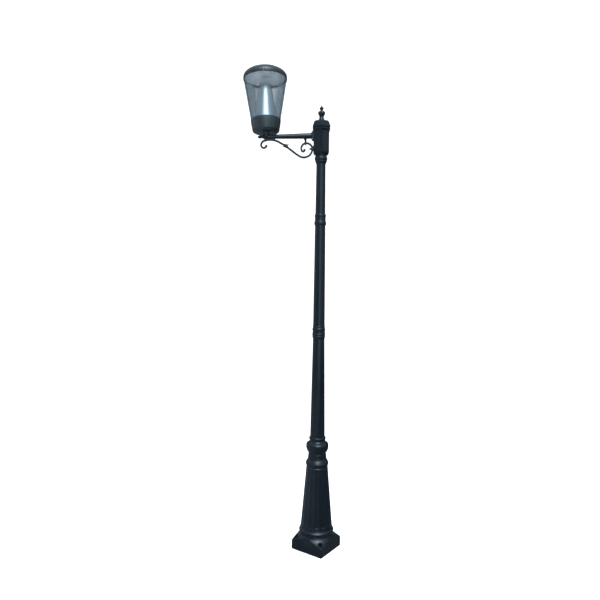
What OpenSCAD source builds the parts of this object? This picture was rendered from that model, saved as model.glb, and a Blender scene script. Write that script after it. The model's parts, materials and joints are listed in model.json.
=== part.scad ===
// Street lamp post: square plinth, fluted conical base, three-part tapered shaft with collars,
// hexagonal head with a domed cap and finial, one scrolled side arm and a conical lantern.
// Millimetres. +Z is up, the arm points towards -X, the door in the base faces +Y.
// The origin is the centre of the base on the ground.

/* [Plinth] */
// Side of the square plinth, across its flats
plinth_side = 324; // [321:1:330]
// Height of the plinth's vertical sides
plinth_h = 80; // [70:1:84]
// Pitch circle of the four anchor holes
anchor_pcd = 380; // [372:1:384]
// Diameter of each anchor hole
anchor_d = 18; // [14:1:20]
// Turn of the plinth's corners from the line of the arm, in degrees
plinth_turn = 9.5; // [0:0.5:15]

/* [Base column] */
// Number of flutes round the conical base
flute_count = 16; // [16:16:32]
// Depth of a flute
flute_depth = 3.8; // [2:0.2:5]
// Wall thickness of the base casting
base_wall = 9; // [8:0.5:10]

/* [Post] */
// Wall allowance between a shaft's spigot and its socket, on the radius
spigot_gap = 0.2; // [0.1:0.05:0.3]
// Depth of the recessed panels in the hexagonal head
panel_depth = 2.2; // [1:0.2:3]

/* [Bracket] */
// Depth of the scroll's bar, in the plane of the scroll
bar_h = 17; // [12:0.5:17]
// Width of the scroll's bar, across the plane of the scroll
bar_w = 13; // [10:1:14]

/* [Lantern] */
// Rise of the domed canopy above its rim
canopy_rise = 85; // [74:1:95]
// Wall of the clear diffuser
diffuser_wall = 3.5; // [3:0.5:4]
// Radius of the trumpet reflector at its throat
throat_r = 55; // [50:1:60]

/* [Hidden] */
$fn = 72;

// colours
paint = [0.13, 0.16, 0.20];
lantern_paint = [0.24, 0.31, 0.34];
steel = [0.62, 0.64, 0.66];
aluminium = [0.86, 0.88, 0.90];
brass = [0.78, 0.62, 0.28];
black = [0.07, 0.07, 0.08];
grey = [0.62, 0.65, 0.67];
smoke = [0.52, 0.60, 0.66, 0.5];
board_white = [0.92, 0.92, 0.88];
lens_clear = [0.9, 0.95, 1, 0.4];
sheet_grey = [0.80, 0.82, 0.83];

// angles about an axis, in degrees
quarter_angles = [0:90:270];
diagonal_angles = [45:90:315];
screw_angles = [90:120:330];
face_angles = [0:60:300];

// base cone, and the bolts that join it to the plinth
cone_top_z = 752;
cone_top_r = 98.64;
cone_slope = 0.0828;
cone_angle = atan(cone_slope);
base_bolt_ring_r = 118;
base_bolt_r = 5;
anchor_boss_top = 88;

// door: degrees about the post and heights
door_mid = 90;
door_half = 33;
door_z0 = 262;
door_z1 = 612;
door_gap_angle = 0.6;
door_gap = 1.5;
hinge_angle = door_mid - door_half - door_gap_angle / 2;
hinge_mid_z = (door_z0 + door_z1) / 2;
hinge_off = 7; // from the cone's surface
hinge_spacing = 120; // of each hinge from the door's middle height
hinge_bore_r = 2.5;
hinge_pin_r = 2.45;
lock_angle = 112.5;
lock_z = 437;
lock_r = 9;

// fittings inside the base
fuse_z = 430;
stud_x = 24;
stud_z = 300;
cable_y = 16;

// shaft: height of each joint and radius of the spigot that enters it
lower_z = 1031;
mid_z = 1985;
upper_z = 2978;
head_z = 3490;
lower_spigot_r = 62;
mid_spigot_r = 47;
upper_spigot_r = 42;

// heights of the grub screws in the collars
mid_screw_z = 1989;
upper_screw_z = 2996;
head_screw_z = 3529;

// hexagonal head
hex_in = 68.3; // centre to flat
cap_z = 3795;
finial_z = 3864.5;
finial_rod_r = 5;
plate_bolt_y = 25;
plate_bolt_z = [3697, 3758.5];
plate_bolt_r = 4;

// arm axis: falls slightly from the post to the lantern
arm_x0 = -67.3;
arm_z0 = 3728.5;
arm_fall = 1.9;
arm_root_r = 20; // spigot at the post
arm_tip_r = 12.5; // spigot at the lantern

// lantern axis: crosses the arm's axis at lantern_x, leans away from the post and towards +Y
lantern_x = -489.5;
lean_out = 1.5;
lean_back = 5;
lantern_z = arm_z(lantern_x);

// lantern, in its own frame: heights along its axis, hinge and catch distances from it
seat_z = 3736;
spigot_screw_z = 3744;
gear_floor_z = 3756.2;
tray_z = 3858.1;
board_z = 3861.1;
housing_top = 3862;
diffuser_z0 = 3864.5;
diffuser_z1 = 4230;
ring_z = 4238;
canopy_z = ring_z + 2.5;
rim_hinge_x = 200.1;
rim_hinge_z = 4239.5;
catch_x = -rim_hinge_x;
canopy_screw_ring_r = 130;

// ---------- sizes along tapers and axes ----------

function cone_r(z) = cone_top_r + (cone_top_z - z) * cone_slope;
function lower_r(z) = 66.6 - (z - 1020) * 0.0158;
function mid_r(z) = 52.9 - (z - mid_z) * 0.00675;
function upper_r(z) = 44.6 - (z - upper_z) * 0.0079;
function diffuser_r(z) = 131.5 + (z - diffuser_z0) * 0.165;
function arm_z(x) = arm_z0 + (x - arm_x0) * tan(arm_fall);
// point on the lantern's axis at height z of its own frame
function lantern_axis(z) = let (rise = z - lantern_z) [
  lantern_x - rise * cos(lean_back) * sin(lean_out),
  rise * sin(lean_back),
  lantern_z + rise * cos(lean_back) * cos(lean_out)];

// ---------- outlines: lists of [radius, height] ----------

// half-ellipse moulding between two heights
function bead(z0, z1, r0, r1, steps = 10) = [for (i = [0:steps]) let (t = 180 * i / steps)
  [r0 + (r1 - r0) * sin(t), (z0 + z1) / 2 - (z1 - z0) / 2 * cos(t)]];
// quarter curve that leaves vertically and arrives horizontally
function quarter_curve(r0, z0, r1, z1, steps) = [for (i = [0:steps]) let (t = 90 * i / steps)
  [r1 + (r0 - r1) * cos(t), z0 + (z1 - z0) * sin(t)]];
function flip(list) = [for (i = [len(list) - 1:-1:0]) list[i]];

// ---------- shapes ----------

module drum(z, radius, height) translate([0, 0, z]) cylinder(r = radius, h = height);
module taper(z, r_low, r_high, height)
  translate([0, 0, z]) cylinder(r1 = r_low, r2 = r_high, h = height);
module block(corner, size) translate(corner) cube(size);
module lathe(outline) rotate_extrude($fn = 96) polygon(outline);
// six-sided lathe: radii are to the flats, and one flat faces +X
module lathe_hex(outline)
  rotate([0, 0, 30]) rotate_extrude($fn = 6) polygon([for (p = outline) [p[0] / cos(30), p[1]]]);
module hex_prism(flat_r, z0, z1)
  translate([0, 0, z0]) rotate([0, 0, 30]) cylinder(r = flat_r / cos(30), h = z1 - z0, $fn = 6);
module ring(r_out, r_in, z0, z1) lathe([[r_in, z0], [r_out, z0], [r_out, z1], [r_in, z1]]);

// straight rod between two points
module rod(start, end, radius) {
  span = end - start;
  length = norm(span);
  translate(start) rotate([0, acos(span[2] / length), atan2(span[1], span[0])])
    cylinder(r = radius, h = length);
}
// rods through a list of points, with a ball at each inner corner
module rod_path(points, radius) {
  for (i = [0:len(points) - 2]) rod(points[i], points[i + 1], radius);
  for (i = [1:len(points) - 2]) translate(points[i]) sphere(r = radius + 0.4);
}
// upright profile of [x, z] points in the plane of the arm
module in_plane(width)
  translate([0, width / 2, 0]) rotate([90, 0, 0]) linear_extrude(width) children();

// ---------- places ----------

// a copy at each angle about Z, at a radius
module around(angles, radius = 0)
  for (angle = angles) rotate([0, 0, angle]) translate([radius, 0, 0]) children();
// local z points outwards from the axis, local x points down
module radial(angle, z)
  rotate([0, 0, angle]) translate([0, 0, z]) rotate([0, 90, 0]) children();
// three radial screws, or their holes, that start at a distance from the axis
module radial_screws(z, start, radius, length)
  for (angle = screw_angles) radial(angle, z) drum(start, radius, length);
module at_lock() radial(lock_angle, lock_z) children();
// both door hinges: local x outwards, local z along the cone
module at_hinges()
  rotate([0, 0, hinge_angle]) translate([cone_r(hinge_mid_z), 0, hinge_mid_z])
    rotate([0, -cone_angle, 0])
      for (side = [-1, 1]) translate([hinge_off, 0, side * hinge_spacing]) children();
module at_stud() translate([stud_x, 0, stud_z]) rotate([-90, 0, 0]) children();
// the four bolts of the bracket plate: local z towards +X
module at_plate_bolts()
  for (y = [-plate_bolt_y, plate_bolt_y], z = plate_bolt_z)
    translate([0, y, z]) rotate([0, 90, 0]) children();
// along the arm: local z runs from the post to the free end, local x is up
module on_arm() translate([arm_x0, 0, arm_z0]) rotate([0, -90 - arm_fall, 0]) children();
module at_lantern()
  translate([lantern_x, 0, lantern_z]) rotate([-lean_back, -lean_out, 0])
    translate([0, 0, -lantern_z]) children();
// lantern frame turned so that local x points to the canopy's hinge, on the +Y side
module at_rim() at_lantern() rotate([0, 0, 90]) children();
// canopy's hinge: local z along the pin, local y up
module at_rim_hinge()
  at_rim() translate([rim_hinge_x, 0, rim_hinge_z]) rotate([90, 0, 0]) children();
module at_catch() at_rim() translate([catch_x, 0, 0]) children();

// ---------- plinth and base ----------

module base_plinth() color(paint) {
  // [radius, height]
  outline = concat([[80, 0], [227, 0]], quarter_curve(227, plinth_h, 222, plinth_h + 5, 4),
    [[221, plinth_h + 6], [211, 91], [199, 98], [187, 106], [175.5, 115], [166, 125],
     [158.5, 137], [154.6, 150], [153.5, 164], [80, 164]]);
  difference() {
    union() {
      intersection() {
        lathe(outline);
        rotate([0, 0, 45 + plinth_turn])
          block([-plinth_side / 2, -plinth_side / 2, -1], [plinth_side, plinth_side, 200]);
      }
      rotate([0, 0, plinth_turn]) around(quarter_angles, anchor_pcd / 2)
        cylinder(r = 22, h = anchor_boss_top);
    }
    drum(-1, 138, 129);
    drum(-1, 95, 200);
    rotate([0, 0, plinth_turn]) around(quarter_angles, anchor_pcd / 2) {
      drum(-1, anchor_d / 2, 200);
      // seat for the nut
      drum(anchor_boss_top, 19.5, 60);
    }
    around(diagonal_angles, base_bolt_ring_r) drum(140, base_bolt_r + 0.05, 40);
  }
}

module base_bolts() color(steel) around(diagonal_angles, base_bolt_ring_r) {
  drum(144, base_bolt_r, 38);
  drum(178, 9.8, 7, $fn = 6);
}

// slightly conical cutters with ball ends, laid along the cone
module flutes() {
  z0 = 242;
  z1 = 722;
  length = (z1 - z0) / cos(cone_angle);
  width_scale = 16 / flute_count;
  r_low = 40 * width_scale;
  r_high = 27 * width_scale;
  around([for (i = [0:flute_count - 1]) i * 360 / flute_count])
    translate([cone_r(z0), 0, z0]) rotate([0, -cone_angle, 0])
      translate([r_low - flute_depth, 0, 0]) rotate([0, -atan((r_low - r_high) / length), 0]) {
        cylinder(r1 = r_low, r2 = r_high, h = length);
        sphere(r = r_low);
        translate([0, 0, length]) sphere(r = r_high);
      }
}

// shell that follows the cone, its outside at r_add from the cone's surface
module cone_shell(r_add, wall, z0, z1)
  lathe([[cone_r(z0) + r_add - wall, z0], [cone_r(z0) + r_add, z0],
    [cone_r(z1) + r_add, z1], [cone_r(z1) + r_add - wall, z1]]);

// sector about the door's middle
module wedge(half, z0, z1) {
  reach = 260;
  translate([0, 0, z0]) linear_extrude(z1 - z0)
    polygon([[0, 0], [reach * cos(door_mid - half), reach * sin(door_mid - half)],
      [0, 1.3 * reach], [reach * cos(door_mid + half), reach * sin(door_mid + half)]]);
}
module door_opening() wedge(door_half + door_gap_angle, door_z0 - door_gap, door_z1 + door_gap);

module hinge_bores() at_hinges() drum(-30, hinge_bore_r, 60);
// hinge knuckle with the leaf that joins it to the cone
module knuckle(length, leaf_y, leaf_w) {
  drum(-length / 2, 5.5, length);
  block([-9.5, leaf_y, -length / 2], [9.5, leaf_w, length]);
}

module fluted_cone() difference() {
  lathe([[cone_r(214) - base_wall, 214], [cone_r(214), 214], [cone_top_r, cone_top_z],
    [84.5, cone_top_z], [84.5, 743], [cone_r(743) - base_wall, 743]]);
  door_opening();
  flutes();
}

// foot ring with its inner flange, as [radius, height]
module foot_ring() lathe([[100, 164], [151.5, 164], [152.5, 166], [156.2, 168], [157.8, 172],
  [157.6, 177], [155.6, 181.5], [151.4, 187], [147.6, 193.5], [145.2, 201], [143.8, 208],
  [cone_r(214), 214], [cone_r(214) - base_wall, 214], [cone_r(178) - base_wall, 178],
  [100, 178]]);

// ledge behind the door's edges
module door_ledge() difference() {
  intersection() {
    cone_shell(-base_wall + 0.5, 6, door_z0 - 10, door_z1 + 10);
    wedge(door_half + 3.5, door_z0 - 10, door_z1 + 10);
  }
  wedge(door_half - 3, door_z0 + 8, door_z1 - 8);
  intersection() {
    cone_shell(5, 14.3, door_z0 - door_gap, door_z1 + door_gap);
    door_opening();
  }
}

module base_column() color(paint) difference() {
  union() {
    fluted_cone();
    foot_ring();
    door_ledge();
    // fixed knuckles, above and below each of the door's
    at_hinges() for (side = [-1, 1]) translate([0, 0, side * 13.4]) knuckle(10, -11, 10.8);
  }
  hinge_bores();
  around(diagonal_angles, base_bolt_ring_r) drum(140, base_bolt_r + 0.1, 60);
}

module access_door() color(paint) difference() {
  union() {
    difference() {
      intersection() {
        cone_shell(0, base_wall, door_z0, door_z1);
        wedge(door_half, door_z0, door_z1);
      }
      flutes();
    }
    at_lock() drum(112, 14, 14);
    at_hinges() knuckle(16, 0.2, 11);
  }
  at_lock() drum(100, lock_r + 0.05, 40);
  hinge_bores();
}

module door_hinge_pins() color(steel) at_hinges() {
  drum(-20, hinge_pin_r, 40);
  drum(18.6, 4, 2.5);
}

module lock_barrel() color(steel) at_lock() difference() {
  union() {
    drum(104, lock_r, 24);
    drum(126.1, 12, 3);
  }
  drum(100, 4, 40);
  drum(123, 7, 10);
}

module lock_nut() color(steel) at_lock() difference() {
  drum(107.5, 13, 4.4, $fn = 6);
  drum(100, lock_r + 0.05, 20);
}

module lock_cam() color(steel) at_lock() {
  drum(97, 3.95, 27);
  drum(123.5, 5.2, 4, $fn = 3);
  // tongue hangs down: local x is down
  block([-8, -7, 100], [37, 14, 3.5]);
}

module backboard() color(grey) difference() {
  union() {
    block([-38, -8, 179], [76, 8, 390]);
    block([-20, -128, 178.2], [40, 124, 5]);
  }
  at_stud() drum(-20, 4.05, 40);
  for (z = [220, 540]) translate([-24, -20, z]) rotate([-90, 0, 0]) cylinder(r = 3, h = 40);
}

module fuse_unit() color(black) difference() {
  union() {
    block([-30, 0, fuse_z], [60, 40, 100]);
    block([-26, 0, fuse_z - 8], [52, 30, 116]);
  }
  block([-18, 26, fuse_z + 16], [36, 30, 68]);
  // cable entries below and above
  translate([0, cable_y, 0]) {
    drum(400, 8.2, 30);
    drum(530, 5.2, 20);
  }
}

module fuse_carrier() color(grey) {
  block([-17.5, 26.5, fuse_z + 16.5], [35, 18, 67]);
  block([-6, 44, fuse_z + 32], [12, 9, 36]);
}

module earth_stud() color(brass) at_stud() {
  drum(-14, 4, 36);
  drum(-14, 7.4, 5.8, $fn = 6);
  drum(0.2, 9, 1.6);
  drum(1.8, 7.4, 6, $fn = 6);
}

// thick cable into the fuse unit, thin cable from there to the lantern
module supply_cable() color(black) {
  rod([0, cable_y, 166], [0, cable_y, 429.5], 8);
  rod_path([[0, cable_y, 530.5], [0, cable_y, 3655], [-48, 0, arm_z(-48)],
    lantern_axis(lantern_z), lantern_axis(3821)], 4.5);
}

// ---------- shaft: outlines are [radius, height] ----------

module neck_casting() color(paint) lathe(concat(
  [[73, 738], [84.2, 738], [84.2, cone_top_z], [98, cone_top_z], [97.4, 755], [94.6, 758],
   [94.6, 764], [96.8, 767.5]],
  bead(769, 805, 98, 103.8),
  [[98, 808], [95, 813], [91, 818.5], [88, 824.5], [85.6, 831.5], [84.2, 840], [83.3, 850],
   [82.4, 862], [81.6, 871], [80.2, 879], [79, 884], [79, 890], [82.5, 893], [84.8, 893.5],
   [88.6, 898], [92.6, 905], [96.2, 913], [99, 921], [100.9, 930], [101.9, 940], [102, 950],
   [101.3, 958], [99.7, 965], [96.8, 971], [92.6, 975.5], [87.5, 978.5], [82, 980.3],
   [74, 989], [71, 996], [70.4, 1003]],
  bead(1005, 1029, 71.4, 76, 8),
  [[68.8, lower_z], [lower_spigot_r + spigot_gap, lower_z], [lower_spigot_r + spigot_gap, 884],
   [72, 874]]));

module lower_shaft() color(paint) lathe([[56, 888], [lower_spigot_r, 888],
  [lower_spigot_r, lower_z], [lower_r(lower_z), lower_z], [lower_r(mid_z), mid_z],
  [mid_spigot_r, mid_z], [56, 1060]]);

module mid_collar() color(paint) difference() {
  lathe(concat(
    [[52.5, 1928], [54, 1928], [54.4, 1934]],
    bead(1936, 1953, 55, 57.6, 6),
    bead(1953.5, 1975, 56.4, 59.4, 8),
    [[56.2, 1979], [56, 1998]],
    bead(2000, 2020, 56.3, 58.4, 8),
    [[54.4, 2023], [54.2, 2029]],
    bead(2030, 2042, 53.9, 55.1, 5),
    [[53.15, 2042], [53.15, mid_z], [52.5, mid_z]]));
  radial_screws(mid_screw_z, 40, 2.55, 30);
}

module mid_shaft() color(paint) lathe([[upper_spigot_r, 1905],
  [mid_spigot_r - spigot_gap, 1905], [mid_spigot_r - spigot_gap, mid_z],
  [mid_r(mid_z), mid_z], [mid_r(upper_z), upper_z], [upper_spigot_r, upper_z]]);

module upper_collar() color(paint) difference() {
  lathe(concat(
    [[46.7, 2937], [47.6, 2937], [48.2, 2943]],
    bead(2945, 2975, 50, 52.9),
    [[48.8, 2979], [48.4, 3012]],
    bead(3015, 3037, 48.6, 50.6, 8),
    [[45.8, 3041], [44.8, 3041], [44.8, upper_z], [46.7, upper_z]]));
  radial_screws(upper_screw_z, 35, 2.55, 30);
}

module upper_shaft() color(paint) lathe([[36.4, 2900], [upper_spigot_r - spigot_gap, 2900],
  [upper_spigot_r - spigot_gap, upper_z], [upper_r(upper_z), upper_z],
  [upper_r(head_z), head_z], [39.6, head_z], [39.6, 3548], [36.4, 3548]]);

module head_collar() color(paint) difference() {
  lathe(concat(
    [[41, 3480], [42.5, 3480], [43.4, 3486], [46.6, 3491], [48.6, 3496.5], [50.8, 3500],
     [51.5, 3505], [51.2, 3510], [52, 3512.5]],
    bead(3514, 3543, 53, 56.8),
    [[50.6, 3544], [50.2, 3545.5]],
    bead(3546.5, 3561, 49.6, 51.4, 6),
    [[57, 3562.5], [57, 3564], [36.2, 3564], [36.2, 3549], [39.8, 3549], [39.8, 3490.5],
     [41, 3490.5]]));
  radial_screws(head_screw_z, 30, 3.05, 30);
}

module collar_screws() color(steel) {
  radial_screws(mid_screw_z, 53, 2.5, 3);
  radial_screws(upper_screw_z, 44.6, 2.5, 4.2);
  radial_screws(head_screw_z, 39.75, 3, 17.5);
}

// ---------- head: outlines are [radius, height] ----------

module head_box() color(paint) difference() {
  // hexagonal box that widens to a collar under the cap
  lathe_hex([[0, 3564.2], [hex_in, 3564.2], [hex_in, 3767], [71.2, 3772], [75.8, 3778.5],
    [76.8, 3782], [76.8, 3788.6], [75.4, 3790.5], [72.4, 3790.5], [72.4, cap_z - 0.05],
    [0, cap_z - 0.05]]);
  // chamfer round the bottom
  around(face_angles, hex_in)
    translate([0, 0, 3578]) rotate([0, 33, 0]) block([0, -100, -60], [60, 200, 60]);
  hex_prism(62.3, 3583, 3774);
  hex_prism(57, 3770, 3800);
  drum(3550, 34.2, 60);
  // recessed panels on every face but the one that carries the bracket
  around([for (angle = face_angles) if (angle != 180) angle])
    block([hex_in - panel_depth, -25, 3602], [20, 50, 156]);
  on_arm() drum(-20, 13, 40);
  at_plate_bolts() drum(-80, plate_bolt_r + 0.1, 40);
}

module head_cap() color(paint) difference() {
  lathe_hex([[0, cap_z], [73.6, cap_z], [75.6, 3798], [77.3, 3802.5], [77.6, 3807.5],
    [77, 3812.5], [75, 3817], [72.4, 3819.5], [71.4, 3823], [70.2, 3829.5], [68.4, 3836],
    [66, 3842], [62.4, 3848], [57.4, 3853], [51, 3857.4], [43, 3861], [34, 3863.4],
    [26, finial_z], [0, finial_z]]);
  // hollow
  lathe_hex(concat([[0, 3790], [62, 3790]], quarter_curve(62, 3814, 22, 3855, 6), [[0, 3855]]));
  drum(3800, finial_rod_r + 0.1, 100);
}

// bar that bears up against the collar's lip and pulls the cap down
module cap_bridge() color(steel) difference() {
  block([-62, -12, 3766], [124, 24, 7.95]);
  drum(3700, finial_rod_r + 0.1, 100);
}

module finial() color(paint) {
  lathe([[0, finial_z], [27, finial_z], [27, 3867], [24.6, 3871], [23, 3876], [21, 3882],
    [19.7, 3889], [19.5, 3895], [20.6, 3900], [22.8, 3905], [25.8, 3910], [29, 3915],
    [31, 3921], [31.4, 3927], [30.5, 3932], [27.6, 3937.5], [22, 3942.5], [15, 3946],
    [11.2, 3948], [10.4, 3951], [11.2, 3955], [14.2, 3958.5], [16.6, 3963], [17.2, 3968],
    [16.4, 3972.5], [13.8, 3977], [10, 3980], [6.6, 3983], [3.8, 3989], [1, 3999], [0, 4000]]);
  drum(3756, finial_rod_r, 118);
}

module finial_nut() color(steel) difference() {
  drum(3758, 9.2, 8, $fn = 6);
  drum(3750, finial_rod_r + 0.05, 20);
}

// ---------- bracket: flat profiles are [x, z] ----------

module bracket_plate() color(paint) difference() {
  union() {
    block([-hex_in - 12, -34, 3689], [12, 68, 77.5]);
    on_arm() taper(9, 31, 27, 15);
    // leaves above and below the arm
    in_plane(14) polygon([[-79, 3766], [-83, 3766], [-89, 3757], [-93, 3748], [-79, 3744]]);
    in_plane(14)
      polygon([[-79, 3712], [-95, 3707], [-88, 3700], [-83, 3691], [-79, 3689]]);
  }
  on_arm() drum(-20, arm_root_r + 0.2, 90);
  on_arm() arm_taper(0.1);
  block([-hex_in, -50, 3600], [60, 100, 200]);
  at_plate_bolts() drum(-100, plate_bolt_r + 0.1, 60);
}

module bracket_bolts() color(steel) at_plate_bolts() {
  drum(-85.3, 7.2, 5, $fn = 6);
  drum(-81, plate_bolt_r, 30);
  drum(-62.2, 7.2, 6, $fn = 6);
}

// tapered tube of the arm, made larger by a margin
module arm_taper(margin) taper(24.1, 25 + margin, 18 + margin, 347.8 + margin);

module arm() color(paint) on_arm() difference() {
  union() {
    drum(1.8, arm_root_r, 30);
    arm_taper(0);
    drum(360, arm_tip_r, 50);
  }
  drum(-1, 10, 500);
}

// [radius, distance along the arm]
module arm_spike() color(paint) on_arm() translate([0, 0, 450.1]) lathe(
  [[0, 0], [13, 0], [13, 2.5], [10.6, 5], [10, 9], [11.3, 14], [13.2, 19.5], [13.7, 25],
   [12.8, 30.5], [10.4, 36.5], [6.8, 42.5], [2.6, 48], [0, 49.5]]);

module lantern_spigot() color(paint) difference() {
  union() {
    difference() {
      on_arm() union() {
        taper(372, 19.6, 21, 20);
        drum(392, 21, 44);
        taper(436, 21, 15, 14);
      }
      // seat of the lantern's neck
      at_lantern() ring(31.6, 22, seat_z - 0.2, 3770);
    }
    at_lantern() {
      taper(3704, 20, 26, 10);
      drum(3714, 26, 21.8);
      drum(3730, 24, 62);
    }
    // block that holds the start of the scroll
    in_plane(19) polygon([[-512, 3716], [-402, 3716], [-404, 3706], [-412, 3690],
      [-498, 3690], [-508, 3700]]);
  }
  on_arm() {
    drum(360, arm_tip_r + 0.1, 62);
    drum(360, 8, 72);
    arm_taper(0.1);
  }
  at_lantern() drum(3716, 12, 90);
  scroll_bar(0.15, 1, 2);
}

// Scroll's middle line in [x, z]: a start point and heading, then arcs end to end.
// Headings are degrees from +X towards +Z, and turns in that direction are positive.
scroll_start = [-486, 3635];
scroll_heading = -106;
// [radius, turn] of each arc
scroll_arcs = [[23.5, -156], [38.5, -78], [163, -45], [560, -15.5], [360, 13], [75, 113],
  [51.5, 115], [44.5, 98], [12.5, 148]];

// heading at the start of arc i
function heading(i) = i == 0 ? scroll_heading : heading(i - 1) + scroll_arcs[i - 1][1];
// unit vector a quarter turn on from a heading
function normal(angle) = [-sin(angle), cos(angle)];
// radius of arc i, with the sign of its turn
function bend(i) = sign(scroll_arcs[i][1]) * scroll_arcs[i][0];
function arc_centre(i) = knot(i) + bend(i) * normal(heading(i));
// start point of arc i
function knot(i) = i == 0 ? scroll_start : arc_centre(i - 1) - bend(i - 1) * normal(heading(i));
// points along arc i, without its end, at a distance from the middle line
function arc_points(i, off) =
  let (centre = arc_centre(i), turn = scroll_arcs[i][1], steps = max(2, ceil(abs(turn) / 8)))
  [for (k = [0:steps - 1]) centre - (bend(i) - off) * normal(heading(i) + turn * k / steps)];
function edge_points(first, last, off) = concat(
  [for (i = [first:last]) each arc_points(i, off)],
  [knot(last + 1) + off * normal(heading(last + 1))]);

// arcs first to last of the bar, made larger all round by a margin
module scroll_bar(margin = 0, first = 0, last = 8) {
  half = bar_h / 2 + margin;
  in_plane(bar_w + 2 * margin)
    polygon(concat(edge_points(first, last, half), flip(edge_points(first, last, -half))));
}

module scroll() color(paint) {
  scroll_bar();
  // round boss at each end
  for (end = [knot(0), knot(9)])
    translate([end[0], bar_w / 2 + 0.5, end[1]]) rotate([90, 0, 0])
      cylinder(r = 10.5, h = bar_w + 1);
}

// leaf clasp across the straightest part of the scroll
module scroll_clasp() color(paint) difference() {
  translate([-314, 0, 3636.4]) rotate([0, 33, 0]) union() {
    in_plane(20) polygon([[-15, -6], [-9, -13.5], [9, -13.5], [15, -6], [15, 7], [8, 14.5],
      [-8, 14.5], [-15, 7]]);
    in_plane(13) polygon([[-9, -12.5], [-25, -25], [-2, -13]]);
    in_plane(13) polygon([[-6, 13.5], [17, 27], [9, 13.5]]);
    in_plane(17) polygon([[-21, -11.2], [21, -11.2], [21, 11.2], [-21, 11.2]]);
  }
  scroll_bar(0.15, 3, 5);
}

// stalk between the arm and the top of the inner curl
module scroll_stalk() color(paint) {
  top_x = -141;
  foot_x = -138.5;
  difference() {
    union() {
      rod([top_x, 0, arm_z(top_x) - 20], [foot_x, 0, 3672], 8.6);
      translate([top_x, 0, arm_z(top_x) - 38]) cylinder(r1 = 8.8, r2 = 15.5, h = 20);
      translate([foot_x, 0, 3664]) rotate([90, 0, 0]) cylinder(r = 12.5, h = 19, center = true);
      translate([-138, 0, 3641]) cylinder(r1 = 1.5, r2 = 8, h = 15);
    }
    scroll_bar(0.15, 6, 7);
    on_arm() arm_taper(0.12);
  }
}

// leaf that ties the inner curl to the side of the head
module scroll_spur() color(paint) {
  root_x = -68.4;
  difference() {
    union() {
      in_plane(19) polygon([[root_x, 3597], [root_x, 3640], [-75, 3640], [-84, 3630],
        [-92, 3620.5], [-107, 3615], [-107, 3609.5], [-94, 3607], [-86, 3601], [-77, 3595]]);
      translate([root_x, 0, 3620]) rotate([0, -90, 0]) cylinder(r = 16, h = 4);
    }
    scroll_bar(0.15, 5, 6);
  }
}

// ---------- lantern: outlines are [radius, height] in its own frame ----------

module gear_housing() color(lantern_paint) at_lantern() difference() {
  lathe([[24.3, seat_z], [29, seat_z], [31, 3739], [31, 3750], [84, 3751], [99, 3753.5],
    [110, 3757.5], [116.6, 3762], [119, 3767], [120.6, 3775], [123.6, 3793], [126.8, 3811],
    [129.8, 3829], [131.8, 3846], [133.4, 3860], [133, housing_top],
    [127, housing_top], [127, 3870], [124.5, 3870], [124.5, 3858], [114, 3858], [114, 3854],
    [128, 3854], [125.4, 3829], [116.4, 3775], [112, 3763], [98, 3757], [84, 3755],
    [30, 3755], [30, 3800], [24.3, 3800]]);
  radial_screws(spigot_screw_z, 15, 3.05, 30);
}

module spigot_screws() color(steel) at_lantern() radial_screws(spigot_screw_z, 24.1, 3, 8.5);

module cable_gland() color(black) at_lantern() difference() {
  union() {
    drum(3800.1, 26, 4);
    drum(3804, 13, 8, $fn = 6);
    taper(3812, 11, 8, 8);
    drum(3793, 11.8, 8);
  }
  drum(3780, 4.6, 60);
}

module gear_tray() color(lantern_paint) at_lantern() difference() {
  drum(tray_z, 124, 2.9);
  for (x = [-60, 60]) translate([x, 0, 3850]) cylinder(r = 6, h = 20);
}

// finned on its underside
module heat_sink() color(aluminium) at_lantern() difference() {
  drum(3824, 52, 34);
  for (x = [-44:11:44]) block([x - 3.5, -60, 3818], [7, 120, 32]);
}

module led_module() color(board_white) at_lantern() {
  drum(board_z, 40, 2);
  around([0:45:315], 24) drum(3863, 3, 1.2);
}

module led_lens() color(lens_clear) at_lantern() lathe(concat(
  [[34, 3863.2], [38, 3863.2]],
  quarter_curve(38, 3868, 0, 3880, 6),
  flip(quarter_curve(34, 3866, 0, 3877, 6))));

module led_driver() color(grey) at_lantern() {
  block([-55, 34, gear_floor_z], [110, 38, 26]);
  for (x = [-66, 55]) block([x, 44, gear_floor_z], [11, 18, 3]);
}

module terminal_block() color(black) at_lantern() difference() {
  block([-30, -72, gear_floor_z], [60, 24, 20]);
  for (x = [-20:10:20]) translate([x, -60, 3768]) cylinder(r = 3, h = 20);
}

// trumpet that narrows upwards to its throat
module reflector_cone() color(aluminium) at_lantern() {
  steps = 18;
  outside = [for (i = [0:steps]) let (u = i / steps)
    [throat_r + 62 * pow(1 - u, 1.6), 3863.4 + 326 * u]];
  lathe(concat(
    [[117, board_z], [121.5, board_z], [121.5, 3862.6], [118.6, 3862.9]],
    outside,
    [[throat_r, 4222], [throat_r - 1.5, 4222]],
    [for (p = flip(outside)) [p[0] - 1.6, p[1]]]));
}

module lower_gasket() color(black) at_lantern() ring(131.8, 127.2, housing_top, diffuser_z0);

module diffuser() color(smoke) at_lantern() lathe([
  [diffuser_r(diffuser_z0) - diffuser_wall, diffuser_z0], [diffuser_r(diffuser_z0), diffuser_z0],
  [diffuser_r(diffuser_z1), diffuser_z1], [diffuser_r(diffuser_z1) - diffuser_wall, diffuser_z1]]);

module rim_hinge_bore() at_rim_hinge() cylinder(r = hinge_bore_r, h = 60, center = true);

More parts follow.
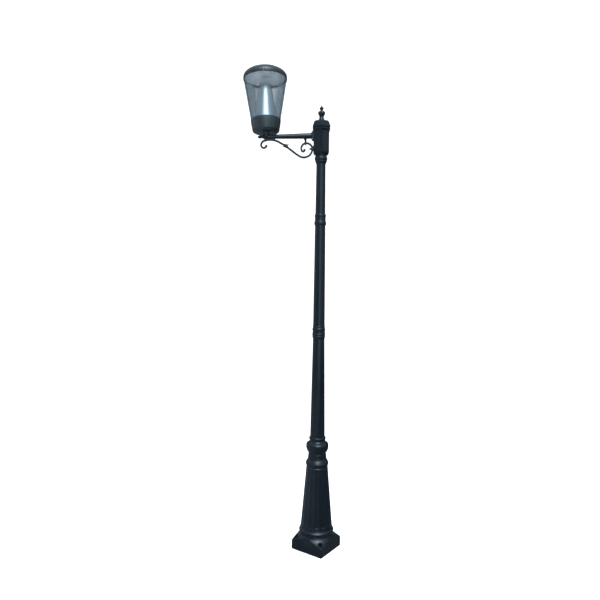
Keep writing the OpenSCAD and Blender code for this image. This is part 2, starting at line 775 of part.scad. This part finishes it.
module diffuser_ring() color(paint) difference() {
  union() {
    at_lantern() lathe([[183, 4230.2], [192.1, 4230.2], [192.1, 4224], [193.4, 4223],
      [194.6, 4225], [194.6, 4236.5], [193, ring_z], [183, ring_z]]);
    // outer hinge knuckles
    at_rim_hinge() for (side = [-1, 1]) translate([0, 0, side * 14]) {
      cylinder(r = 5, h = 10, center = true);
      block([-8, -6.5, -5], [8, 5.5, 10]);
    }
    at_catch() block([-6, -8.5, ring_z - 6], [16, 17, 6]);
  }
  rim_hinge_bore();
  at_catch() block([-2.6, -6, 4225], [5.2, 12, 20]);
  at_catch() drum(4225, 3.4, 20);
}

module upper_gasket() color(black) at_lantern() ring(190.6, 185.4, ring_z, canopy_z);

// solid dome on a 5 mm upright rim
module dome_solid(radius, rise, z0)
  lathe(concat([[0, z0], [radius, z0]], quarter_curve(radius, z0 + 5, 0, z0 + 5 + rise, 24)));

module canopy_screw_holes()
  at_lantern() around(diagonal_angles, canopy_screw_ring_r) drum(4235, 2.05, 30);

module canopy() color(lantern_paint) difference() {
  union() {
    at_lantern() difference() {
      dome_solid(194.6, canopy_rise, canopy_z);
      dome_solid(191.6, canopy_rise - 3, canopy_z - 0.01);
    }
    // lip that presses on the gasket
    at_lantern() ring(192, 185, canopy_z, canopy_z + 1.6);
    // screw posts, cut off within the dome
    at_lantern() intersection() {
      around(diagonal_angles, canopy_screw_ring_r) drum(4245.2, 5, 120);
      dome_solid(193, canopy_rise - 1.5, canopy_z);
    }
    // middle hinge knuckle and its leaf
    at_rim_hinge() cylinder(r = 5, h = 17.4, center = true);
    at_rim() block([rim_hinge_x - 7, -8.7, canopy_z], [7, 17.4, 4]);
    at_catch() block([-6, -8.5, canopy_z], [14, 17, 4.5]);
  }
  canopy_screw_holes();
  rim_hinge_bore();
  at_catch() drum(4225, 3.05, 60);
}

module canopy_reflector() color(sheet_grey) difference() {
  at_lantern() lathe([[0, 4243.6], [150, 4243.6], [185, 4242.4], [190, 4242.4], [190, 4243.6],
    [185, 4243.8], [150, 4245], [0, 4245]]);
  canopy_screw_holes();
}

module reflector_screws() color(steel) at_lantern()
  around(diagonal_angles, canopy_screw_ring_r) {
    drum(4241.4, 4.5, 2.1);
    drum(4242, 2, 20);
  }

module canopy_hinge_pin() color(steel) at_rim_hinge() {
  cylinder(r = hinge_pin_r, h = 40, center = true);
  for (side = [-1, 1]) translate([0, 0, side * 20.6]) cylinder(r = 3.6, h = 2.2, center = true);
}

// quarter-turn catch: its cross bar lines up with the slot at rest
module canopy_catch() color(steel) at_catch() {
  drum(4226, 3, 22);
  block([-1.8, -5.2, 4226], [3.6, 10.4, 3.6]);
  difference() {
    drum(canopy_z + 4.6, 5, 4.6);
    block([-0.8, -8, canopy_z + 7.4], [1.6, 16, 4]);
  }
}

base_plinth();
base_bolts();
base_column();
access_door();
door_hinge_pins();
lock_barrel();
lock_nut();
lock_cam();
backboard();
fuse_unit();
fuse_carrier();
earth_stud();
supply_cable();
neck_casting();
lower_shaft();
mid_collar();
mid_shaft();
upper_collar();
upper_shaft();
head_collar();
collar_screws();
head_box();
head_cap();
cap_bridge();
finial();
finial_nut();
bracket_plate();
bracket_bolts();
arm();
arm_spike();
lantern_spigot();
scroll();
scroll_clasp();
scroll_stalk();
scroll_spur();
gear_housing();
spigot_screws();
cable_gland();
gear_tray();
heat_sink();
led_module();
led_lens();
led_driver();
terminal_block();
reflector_cone();
lower_gasket();
diffuser();
diffuser_ring();
upper_gasket();
canopy();
canopy_reflector();
reflector_screws();
canopy_hinge_pin();
canopy_catch();
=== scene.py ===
"""Lamp post with a lantern: materials and smooth shading for its CAD pieces, and a studio.

Metres, +Z up. The lantern's axis is upright at x = -0.498, y = 0.028. The camera stands
at -Y and looks along +Y, so -X is left and +X is right in the view.
"""

import json
import math
import random
from functools import cached_property

import bmesh
import bpy
from mathutils import Matrix, Vector

LANTERN_AXIS = (-0.498, 0.028, 0.0)
SMOOTH_ANGLE = 34  # degrees; steeper edges stay sharp
WELD_DISTANCE = 0.00002


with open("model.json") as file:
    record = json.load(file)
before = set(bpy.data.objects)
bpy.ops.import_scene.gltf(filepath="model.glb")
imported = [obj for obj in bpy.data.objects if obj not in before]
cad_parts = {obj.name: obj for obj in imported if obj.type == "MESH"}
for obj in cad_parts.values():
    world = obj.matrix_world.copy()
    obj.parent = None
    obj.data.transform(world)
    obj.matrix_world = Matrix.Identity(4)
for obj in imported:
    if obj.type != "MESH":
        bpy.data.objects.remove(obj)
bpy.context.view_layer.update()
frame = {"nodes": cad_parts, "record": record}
scene = bpy.context.scene
random.seed(7)

# ---------------------------------------------------------------- node helpers


class Nodes:
    """Short calls that fill an emptied node tree. Inputs take sockets or plain values."""

    def __init__(self, tree):
        self.tree = tree
        tree.nodes.clear()

    def node(self, kind, inputs=None, **settings):
        node = self.tree.nodes.new(kind)
        for key, value in settings.items():
            setattr(node, key, value)
        for key, value in (inputs or {}).items():
            if isinstance(value, bpy.types.NodeSocket):
                self.tree.links.new(value, node.inputs[key])
            else:
                node.inputs[key].default_value = value
        return node

    def calc(self, operation, *values, clamp=False):
        inputs = dict(enumerate(values))
        return self.node("ShaderNodeMath", inputs, operation=operation, use_clamp=clamp).outputs[0]

    def add(self, a, b, clamp=False):
        return self.calc("ADD", a, b, clamp=clamp)

    def mul(self, product, *factors):
        for factor in factors:
            product = self.calc("MULTIPLY", product, factor)
        return product

    def vector_calc(self, operation, a, b):
        return self.node("ShaderNodeVectorMath", {0: a, 1: b}, operation=operation).outputs

    def mix(self, amount, a, b, blend="MIX"):
        """Colour a where amount is 0, b where it is 1."""
        inputs = {0: amount}
        for key, color in ((6, a), (7, b)):
            is_socket = isinstance(color, bpy.types.NodeSocket)
            inputs[key] = color if is_socket else (*color, 1.0)
        return self.node("ShaderNodeMix", inputs, data_type="RGBA", blend_type=blend).outputs[2]

    def ramp(self, value, low, high):
        """0 below low, 1 above high, straight between."""
        return self.node("ShaderNodeMapRange", {0: value, 1: low, 2: high}).outputs[0]

    def split(self, vector):
        return self.node("ShaderNodeSeparateXYZ", {0: vector}).outputs


class Surface(Nodes):
    """Node tree of a new material, with the patterns that the finishes share."""

    def __init__(self, name):
        self.material = bpy.data.materials.new(name)
        self.material.use_nodes = True
        super().__init__(self.material.node_tree)
        self.position = self.object_position()

    @cached_property
    def geometry(self):
        return self.node("ShaderNodeNewGeometry").outputs

    def object_position(self):
        return self.node("ShaderNodeTexCoord").outputs["Object"]

    def ray(self, kind):
        return self.node("ShaderNodeLightPath").outputs[kind]

    def noise(self, scale=1.0, detail=4.0, roughness=0.55, stretch=None):
        """stretch gives the frequency along each axis."""
        place = self.position
        if stretch:
            place = self.node("ShaderNodeMapping", {"Vector": place, "Scale": stretch}).outputs[0]
        return self.node("ShaderNodeTexNoise", {
            "Vector": place, "Scale": scale, "Detail": detail, "Roughness": roughness,
        }).outputs[0]

    def vary(self, centre, noise, amount, clamp=True):
        return self.add(centre, self.mul(self.calc("SUBTRACT", noise, 0.5), amount), clamp)

    def rounded_normal(self, radius):
        return self.node("ShaderNodeBevel", {"Radius": radius}, samples=4).outputs[0]

    def bump(self, height, strength, distance, **normal):
        inputs = {"Strength": strength, "Distance": distance, "Height": height}
        if normal:
            inputs["Normal"] = normal["normal"]
        return self.node("ShaderNodeBump", inputs).outputs[0]

    def edge_mask(self, radius, gain):
        """1 along convex and concave edges, 0 on open faces."""
        normals = self.rounded_normal(radius), self.geometry["Normal"]
        agreement = self.vector_calc("DOT_PRODUCT", *normals)["Value"]
        return self.calc("MULTIPLY", self.calc("SUBTRACT", 1.0, agreement), gain, clamp=True)

    def up_mask(self):
        """1 on faces that look up."""
        return self.ramp(self.split(self.geometry["Normal"])[2], low=0.25, high=0.95)

    def finish(self, shader):
        self.node("ShaderNodeOutputMaterial", {0: shader})
        return self.material

    def finish_principled(self, color, rough, **extra):
        inputs = {"Base Color": color, "Roughness": rough}
        inputs.update((key.replace("_", " "), value) for key, value in extra.items())
        return self.finish(self.node("ShaderNodeBsdfPrincipled", inputs).outputs[0])


def shade(color, gain, lift=0.0):
    return tuple(min(1.0, channel * gain + lift) for channel in color)


# ---------------------------------------------------------------- finishes


def paint(name, base, rough, peel, cast=0.0, dust=0.10, wear=0.35, streak=0.5, spec=0.5):
    """Painted metal: colour drift, orange peel (peel), cast grain (cast), run-off streaks,
    dust on ledges and rubbed edges (wear)."""
    edge_radius = 0.0011
    streak_color = (0.024, 0.034, 0.043)
    dust_color = (0.085, 0.105, 0.120)
    s = Surface(name)
    drift = s.noise(scale=4.5)
    patches = s.noise(scale=38.0, detail=5, roughness=0.6)
    runs = s.noise(detail=4, roughness=0.6, stretch=(55, 55, 2.4))
    fine = s.noise(scale=620.0, detail=2, roughness=0.5)
    grain = s.noise(scale=210.0, detail=5, roughness=0.65)

    streaks = s.mul(s.ramp(runs, low=0.52, high=0.78), streak * 0.22)
    dusty = s.mul(s.up_mask(), s.ramp(patches, low=0.30, high=0.70), dust)
    edges = s.edge_mask(radius=edge_radius * 2.2, gain=9.0)
    worn = s.mul(edges, s.ramp(patches, low=0.42, high=0.62), wear)

    color = s.mix(s.ramp(drift, low=0.35, high=0.68), shade(base, gain=0.82), shade(base, gain=1.22))
    color = s.mix(streaks, color, streak_color)
    color = s.mix(dusty, color, dust_color)
    color = s.mix(worn, color, shade(base, gain=3.2, lift=0.02))

    # Dust and wear both dull the paint.
    roughness = s.vary(rough, runs, amount=0.14, clamp=False)
    for mask, dulling in ((dusty, 0.9), (worn, 0.25)):
        roughness = s.add(roughness, s.mul(mask, dulling), clamp=True)

    normal = s.rounded_normal(edge_radius)
    normal = s.bump(fine, strength=peel, distance=0.0006, normal=normal)
    normal = s.bump(grain, strength=cast, distance=0.0012, normal=normal)
    return s.finish_principled(
        color, roughness, Normal=normal, Coat_Roughness=0.14, Specular_IOR_Level=spec)


def metal(name, base, rough, brushed, scratch=0.2, stretch=(300, 300, 12), tarnish=0.25):
    """Bare metal: brushed lines with frequencies set by stretch, tarnish in patches and spots."""
    s = Surface(name)
    patches = s.noise(scale=9.0)
    lines = s.noise(detail=3, roughness=0.6, stretch=stretch)
    spots = s.noise(scale=120.0, detail=5, roughness=0.65)
    patchy = s.mul(s.ramp(patches, low=0.45, high=0.75), tarnish)
    spotty = s.mul(s.ramp(spots, low=0.62, high=0.75), tarnish * 0.6)
    color = s.mix(patchy, base, shade(base, gain=0.62))
    color = s.mix(spotty, color, shade(base, gain=0.5))
    normal = s.bump(lines, strength=brushed, distance=0.0003, normal=s.rounded_normal(0.0006))
    return s.finish_principled(
        color, s.vary(rough, lines, amount=scratch), Normal=normal, Metallic=1.0)


def plastic(name, base, rough=0.5, grain=0.25, scale=700.0, spec=0.4):
    """Grained plastic or rubber with slight colour drift and a little dust on top."""
    dust_color = (0.30, 0.29, 0.27)
    s = Surface(name)
    drift = s.noise(scale=14.0)
    fine = s.noise(scale=scale, detail=3, roughness=0.6)
    color = s.mix(
        s.ramp(drift, low=0.3, high=0.7),
        shade(base, gain=0.86),
        shade(base, gain=1.12, lift=0.002))
    dusty = s.mul(s.up_mask(), s.ramp(drift, low=0.4, high=0.7), 0.15)
    color = s.mix(dusty, color, dust_color)
    normal = s.bump(fine, strength=grain, distance=0.0003, normal=s.rounded_normal(0.0008))
    return s.finish_principled(
        color, s.vary(rough, fine, amount=0.2), Normal=normal, Specular_IOR_Level=spec)


def clear_sheet(name, tint, edge_tint, far=1.0, haze=0.05):
    """Thin tinted plastic: darker at grazing angles, softly reflecting, with a dust haze.

    far scales the painted shade on the far wall as the camera sees it, so that parts in front stand
    out.
    """
    # Painted shade and light for the far wall: a darker tint on the left, a lighter one on the
    # right.
    shade_half_width = 0.17
    left_painted_shade_tint, left_painted_shade_gain = (0.88, 0.97, 1.0), 0.60
    right_painted_light_tint, right_painted_light_gain = (0.88, 0.98, 1.0), 1.9
    reflection = 0.5
    s = Surface(name)
    facing = s.node("ShaderNodeLayerWeight", {"Blend": 0.35}).outputs["Facing"]
    clouds = s.noise(stretch=(7, 7, 3))
    fine = s.noise(scale=260.0, detail=4, roughness=0.6)
    color = s.mix(s.ramp(facing, low=0.15, high=0.95), tint, edge_tint)
    cloudy = s.mul(s.ramp(clouds, low=0.35, high=0.7), 0.35)
    color = s.mix(cloudy, color, shade(tint, gain=0.93))

    # Far wall: a mesh front face that looks toward the lantern's axis.
    from_axis = s.vector_calc("SUBTRACT", s.object_position(), LANTERN_AXIS)[0]
    level = s.vector_calc("MULTIPLY", from_axis, (1, 1, 0))[0]
    outward = s.vector_calc("DOT_PRODUCT", level, s.geometry["Normal"])["Value"]
    inward = s.calc("LESS_THAN", outward, 0.0)
    front = s.calc("SUBTRACT", 1.0, s.geometry["Backfacing"])
    far_wall = s.mul(inward, front, s.ray("Is Camera Ray"))

    # Painted shade on it runs from dark on the left (-X) to painted light on the right (+X).
    painted_shade_across = s.ramp(s.split(from_axis)[0], low=-shade_half_width, high=shade_half_width)
    far_shade = s.mix(
        painted_shade_across,
        tuple(channel * far * left_painted_shade_gain for channel in left_painted_shade_tint),
        tuple(channel * far * right_painted_light_gain for channel in right_painted_light_tint))
    color = s.mix(far_wall, color, s.mix(1.0, color, far_shade, blend="MULTIPLY"))

    see_through = s.node("ShaderNodeBsdfTransparent", {"Color": color}).outputs[0]
    dust = s.node("ShaderNodeBsdfDiffuse", {"Color": (0.42, 0.47, 0.51, 1)}).outputs[0]
    dusty = s.add(haze, s.mul(s.ramp(fine, low=0.5, high=0.8), haze * 0.6))
    dusty = s.add(dusty, s.mul(s.ramp(clouds, low=0.4, high=0.75), haze * 0.6))
    body = s.node("ShaderNodeMixShader", {0: dusty, 1: see_through, 2: dust}).outputs[0]

    normal = s.bump(clouds, strength=0.02, distance=0.001)
    shine = s.node("ShaderNodeBsdfGlossy", {
        "Roughness": 0.22, "Color": (0.93, 0.97, 1.0, 1), "Normal": normal,
    }).outputs[0]
    fresnel = s.node("ShaderNodeFresnel", {"IOR": 1.46, "Normal": normal}).outputs[0]
    shiny = s.calc("MULTIPLY", fresnel, reflection, clamp=True)
    return s.finish(s.node("ShaderNodeMixShader", {0: shiny, 1: body, 2: shine}).outputs[0])


DARK = (0.0042, 0.0082, 0.0128)
FINISHES = {
    "post_paint": (paint, dict(base=DARK, rough=0.20, peel=0.06, streak=0.4)),
    "cast_iron_paint": (paint, dict(
        base=DARK, rough=0.21, peel=0.05, cast=0.04, dust=0.08, wear=0.36)),
    "lantern_paint": (paint, dict(
        base=(0.013, 0.023, 0.028), rough=0.32, peel=0.10, dust=0.06, wear=0.25, spec=0.8)),
    "polished_aluminium": (metal, dict(
        base=(0.90, 0.91, 0.92), rough=0.20, brushed=0.03, scratch=0.08,
        stretch=(40, 40, 900), tarnish=0.08)),
    "bare_aluminium": (metal, dict(base=(0.62, 0.63, 0.64), rough=0.36, brushed=0.15)),
    "white_reflector": (plastic, dict(base=(0.88, 0.90, 0.91), rough=0.22, grain=0.05)),
    "steel": (metal, dict(base=(0.42, 0.43, 0.44), rough=0.36, brushed=0.12, tarnish=0.5)),
    "brass": (metal, dict(base=(0.62, 0.43, 0.16), rough=0.32, brushed=0.1, tarnish=0.5)),
    "smoke_diffuser": (clear_sheet, dict(
        tint=(0.88, 0.905, 0.92), edge_tint=(0.70, 0.75, 0.78), far=0.36)),
    "lens": (clear_sheet, dict(
        tint=(0.95, 0.965, 0.975), edge_tint=(0.86, 0.9, 0.92), haze=0.02)),
    "gasket_rubber": (plastic, dict(
        base=(0.012, 0.012, 0.013), rough=0.75, grain=0.5, scale=500, spec=0.25)),
    "black_plastic": (plastic, dict(base=(0.015, 0.015, 0.016))),
    "grey_plastic": (plastic, dict(base=(0.26, 0.28, 0.29), rough=0.48)),
    "led_board": (plastic, dict(base=(0.72, 0.72, 0.66), rough=0.35, grain=0.05)),
}

# ---------------------------------------------------------------- CAD pieces


def make_smooth_group(angle):
    """Geometry nodes that shade smooth across edges up to angle, in degrees."""
    group = bpy.data.node_groups.new(f"SmoothByAngle{angle}", "GeometryNodeTree")
    for direction in ("INPUT", "OUTPUT"):
        group.interface.new_socket(
            "Geometry", in_out=direction, socket_type="NodeSocketGeometry")
    g = Nodes(group)
    mesh = g.node("NodeGroupInput").outputs[0]
    edge_angle = g.node("GeometryNodeInputMeshEdgeAngle").outputs["Unsigned Angle"]
    is_soft = g.node(
        "FunctionNodeCompare", {0: edge_angle, 1: math.radians(angle)},
        data_type="FLOAT", operation="LESS_EQUAL").outputs[0]
    faces = g.node("GeometryNodeSetShadeSmooth", {0: mesh}).outputs[0]
    edges = g.node(
        "GeometryNodeSetShadeSmooth", {0: faces, "Shade Smooth": is_soft}, domain="EDGE")
    g.node("NodeGroupOutput", {0: edges.outputs[0]})
    return group


def shade_smooth(mesh):
    for polygon in mesh.polygons:
        polygon.use_smooth = True


def finish_pieces():
    smooth_group = make_smooth_group(SMOOTH_ANGLE)
    materials = {name: make(name, **settings) for name, (make, settings) in FINISHES.items()}
    slots = {part["node"]: part["material_slot"] for part in frame["record"]["subparts"]}
    for name, piece in frame["nodes"].items():
        piece.data.materials.clear()
        piece.data.materials.append(materials[slots[name]])
        piece.modifiers.new("Weld", "WELD").merge_threshold = WELD_DISTANCE
        piece.modifiers.new("Smooth", "NODES").node_group = smooth_group
        shade_smooth(piece.data)


# ---------------------------------------------------------------- studio


def floor_material():
    """Pale and lightly glowing to the camera, painted dark in reflections and lighter there on the
    left.
    """
    s = Surface("studio_floor")
    pale = s.mix(s.noise(scale=3.0, detail=3), (0.83, 0.84, 0.85), (0.86, 0.865, 0.87))
    # Painted light and shade for reflections: glossy rays see the floor lighter on the left (-X),
    # darker on the right (+X).
    painted_shade_across = s.ramp(s.split(s.position)[0], low=-1.6, high=0.9)
    reflected = s.mix(painted_shade_across, (0.20, 0.225, 0.245), (0.05, 0.062, 0.070))
    return s.finish_principled(
        s.mix(s.ray("Is Glossy Ray"), pale, reflected),
        rough=0.85,
        Specular_IOR_Level=0.1,
        Emission_Color=(1, 1, 1, 1),
        Emission_Strength=s.mul(s.ray("Is Camera Ray"), 0.60))


def add_floor():
    """Floor that curves up into a backdrop far behind the lamp."""
    half_width = 14.0
    near_y, curve_y = -9.0, 6.0
    radius, curve_steps = 3.0, 24
    backdrop_height = 12.0
    profile = [(near_y, 0.0), (curve_y, 0.0)]  # (y, z)
    for i in range(1, curve_steps + 1):
        angle = math.radians(90 * i / curve_steps)
        profile.append((curve_y + radius * math.sin(angle), radius - radius * math.cos(angle)))
    profile.append((curve_y + radius, backdrop_height))

    bm = bmesh.new()
    left, right = [
        [bm.verts.new((x, y, z)) for y, z in profile] for x in (-half_width, half_width)]
    for i in range(len(profile) - 1):
        bm.faces.new((left[i], right[i], right[i + 1], left[i + 1]))
    mesh = bpy.data.meshes.new("studio_floor")
    bm.to_mesh(mesh)
    bm.free()
    shade_smooth(mesh)
    floor = bpy.data.objects.new("studio_floor", mesh)
    scene.collection.objects.link(floor)
    mesh.materials.append(floor_material())


# name, place, point aimed at, (width, height), watts, colour
LIGHTS = (
    ("key_left", (-3.4, -4.6, 4.4), (-0.1, 0, 2.4), (1.6, 3.6), 150, (0.97, 0.99, 1.0)),
    ("fill_right", (4.4, -3.0, 3.2), (-0.1, 0, 2.3), (1.2, 4.0), 40, (0.90, 0.95, 1.0)),
    ("top", (-0.3, -1.0, 7.6), (-0.2, 0, 3.0), (3.4, 3.4), 190, (0.95, 0.98, 1.0)),
    ("back_left", (-3.0, 3.2, 3.4), (0, 0, 2.4), (1.6, 4.6), 60, (0.88, 0.95, 1.0)),
    ("back_right", (3.0, 3.2, 3.4), (0, 0, 2.4), (1.2, 4.6), 30, (0.88, 0.95, 1.0)),
)


def add_light(name, place, target, size, power, color):
    """Rectangular area light, hidden from reflections."""
    data = bpy.data.lights.new(name, "AREA")
    data.energy = power
    data.color = color
    data.shape = "RECTANGLE"
    data.size, data.size_y = size
    light = bpy.data.objects.new(name, data)
    light.location = place
    aim = Vector(target) - Vector(place)
    light.rotation_euler = aim.to_track_quat("-Z", "Y").to_euler()
    light.visible_glossy = False
    scene.collection.objects.link(light)


# Soft bright patches in the reflected surround, angles in radians:
# azimuth (0 behind the camera, + to the right), elevation, their widths,
# brightness, falloff power across the azimuth
LOBES = (
    (0.10, 0.85, 0.78, 0.45, 2.2, 6.0),
    (0.12, 0.92, 0.30, 0.34, 7.0, 2.0),
    (0.15, 0.0, 0.35, 0.42, 1.1, 2.0),
    (1.0, 0.25, 0.50, 0.6, 0.45, 2.0),
    (-1.25, 0.08, 0.55, 0.6, 0.30, 2.0),
    (-2.6, 0.1, 0.8, 0.6, 0.75, 2.0),
    (2.6, 0.1, 0.8, 0.6, 0.40, 2.0),
)


def add_world():
    """White to the camera, graded bluish grey with bright lobes to reflections."""
    world = bpy.data.worlds.new("studio")
    scene.world = world
    world.use_nodes = True
    w = Nodes(world.node_tree)
    rays = w.node("ShaderNodeLightPath").outputs
    x, y, z = w.split(w.node("ShaderNodeTexCoord").outputs["Generated"])
    azimuth = w.calc("ARCTAN2", x, w.mul(y, -1.0))
    elevation = w.calc("ARCSINE", z)

    def falloff(angle, centre, width, power):
        offset = w.calc("DIVIDE", w.calc("SUBTRACT", angle, centre), width)
        return w.calc("POWER", w.calc("ABSOLUTE", offset), power)

    # Sky that brightens upward from a dim base, then the lobes.
    sky = w.calc("POWER", w.ramp(z, low=0.0, high=1.0), 1.2)
    brightness = w.add(w.mul(sky, 0.55), 0.035)
    for lobe_azimuth, lobe_elevation, width, height, gain, power in LOBES:
        spread = w.add(
            falloff(azimuth, lobe_azimuth, width, power),
            falloff(elevation, lobe_elevation, height, 2.0))
        brightness = w.add(brightness, w.mul(w.calc("EXPONENT", w.mul(spread, -1.0)), gain))

    reflected = w.node(
        "ShaderNodeVectorMath", {0: (0.74, 0.93, 1.06), "Scale": brightness},
        operation="SCALE").outputs[0]
    ambient = w.mix(w.ramp(z, low=-0.3, high=1.0), (0.34, 0.36, 0.38), (0.86, 0.92, 1.0))
    color = w.mix(rays["Is Glossy Ray"], ambient, reflected)
    color = w.mix(rays["Is Camera Ray"], color, (1.0, 1.0, 1.0))
    background = w.node("ShaderNodeBackground", {"Color": color, "Strength": 1.0})
    w.node("ShaderNodeOutputWorld", {0: background.outputs[0]})


def add_camera():
    place = (-0.1726, -5.126, 2.559)
    down_tilt, roll = 3.2, 0.64  # degrees
    data = bpy.data.cameras.new("camera")
    data.sensor_width = 36.0  # mm
    data.lens = 34.26  # mm
    camera = bpy.data.objects.new("camera", data)
    camera.matrix_world = (
        Matrix.Translation(place)
        @ Matrix.Rotation(math.radians(90 - down_tilt), 4, "X")
        @ Matrix.Rotation(math.radians(roll), 4, "Z"))
    scene.collection.objects.link(camera)
    scene.camera = camera


finish_pieces()
add_floor()
for light_row in LIGHTS:
    add_light(*light_row)
add_world()
add_camera()
scene.view_settings.view_transform = "Standard"
scene.view_settings.look = "None"
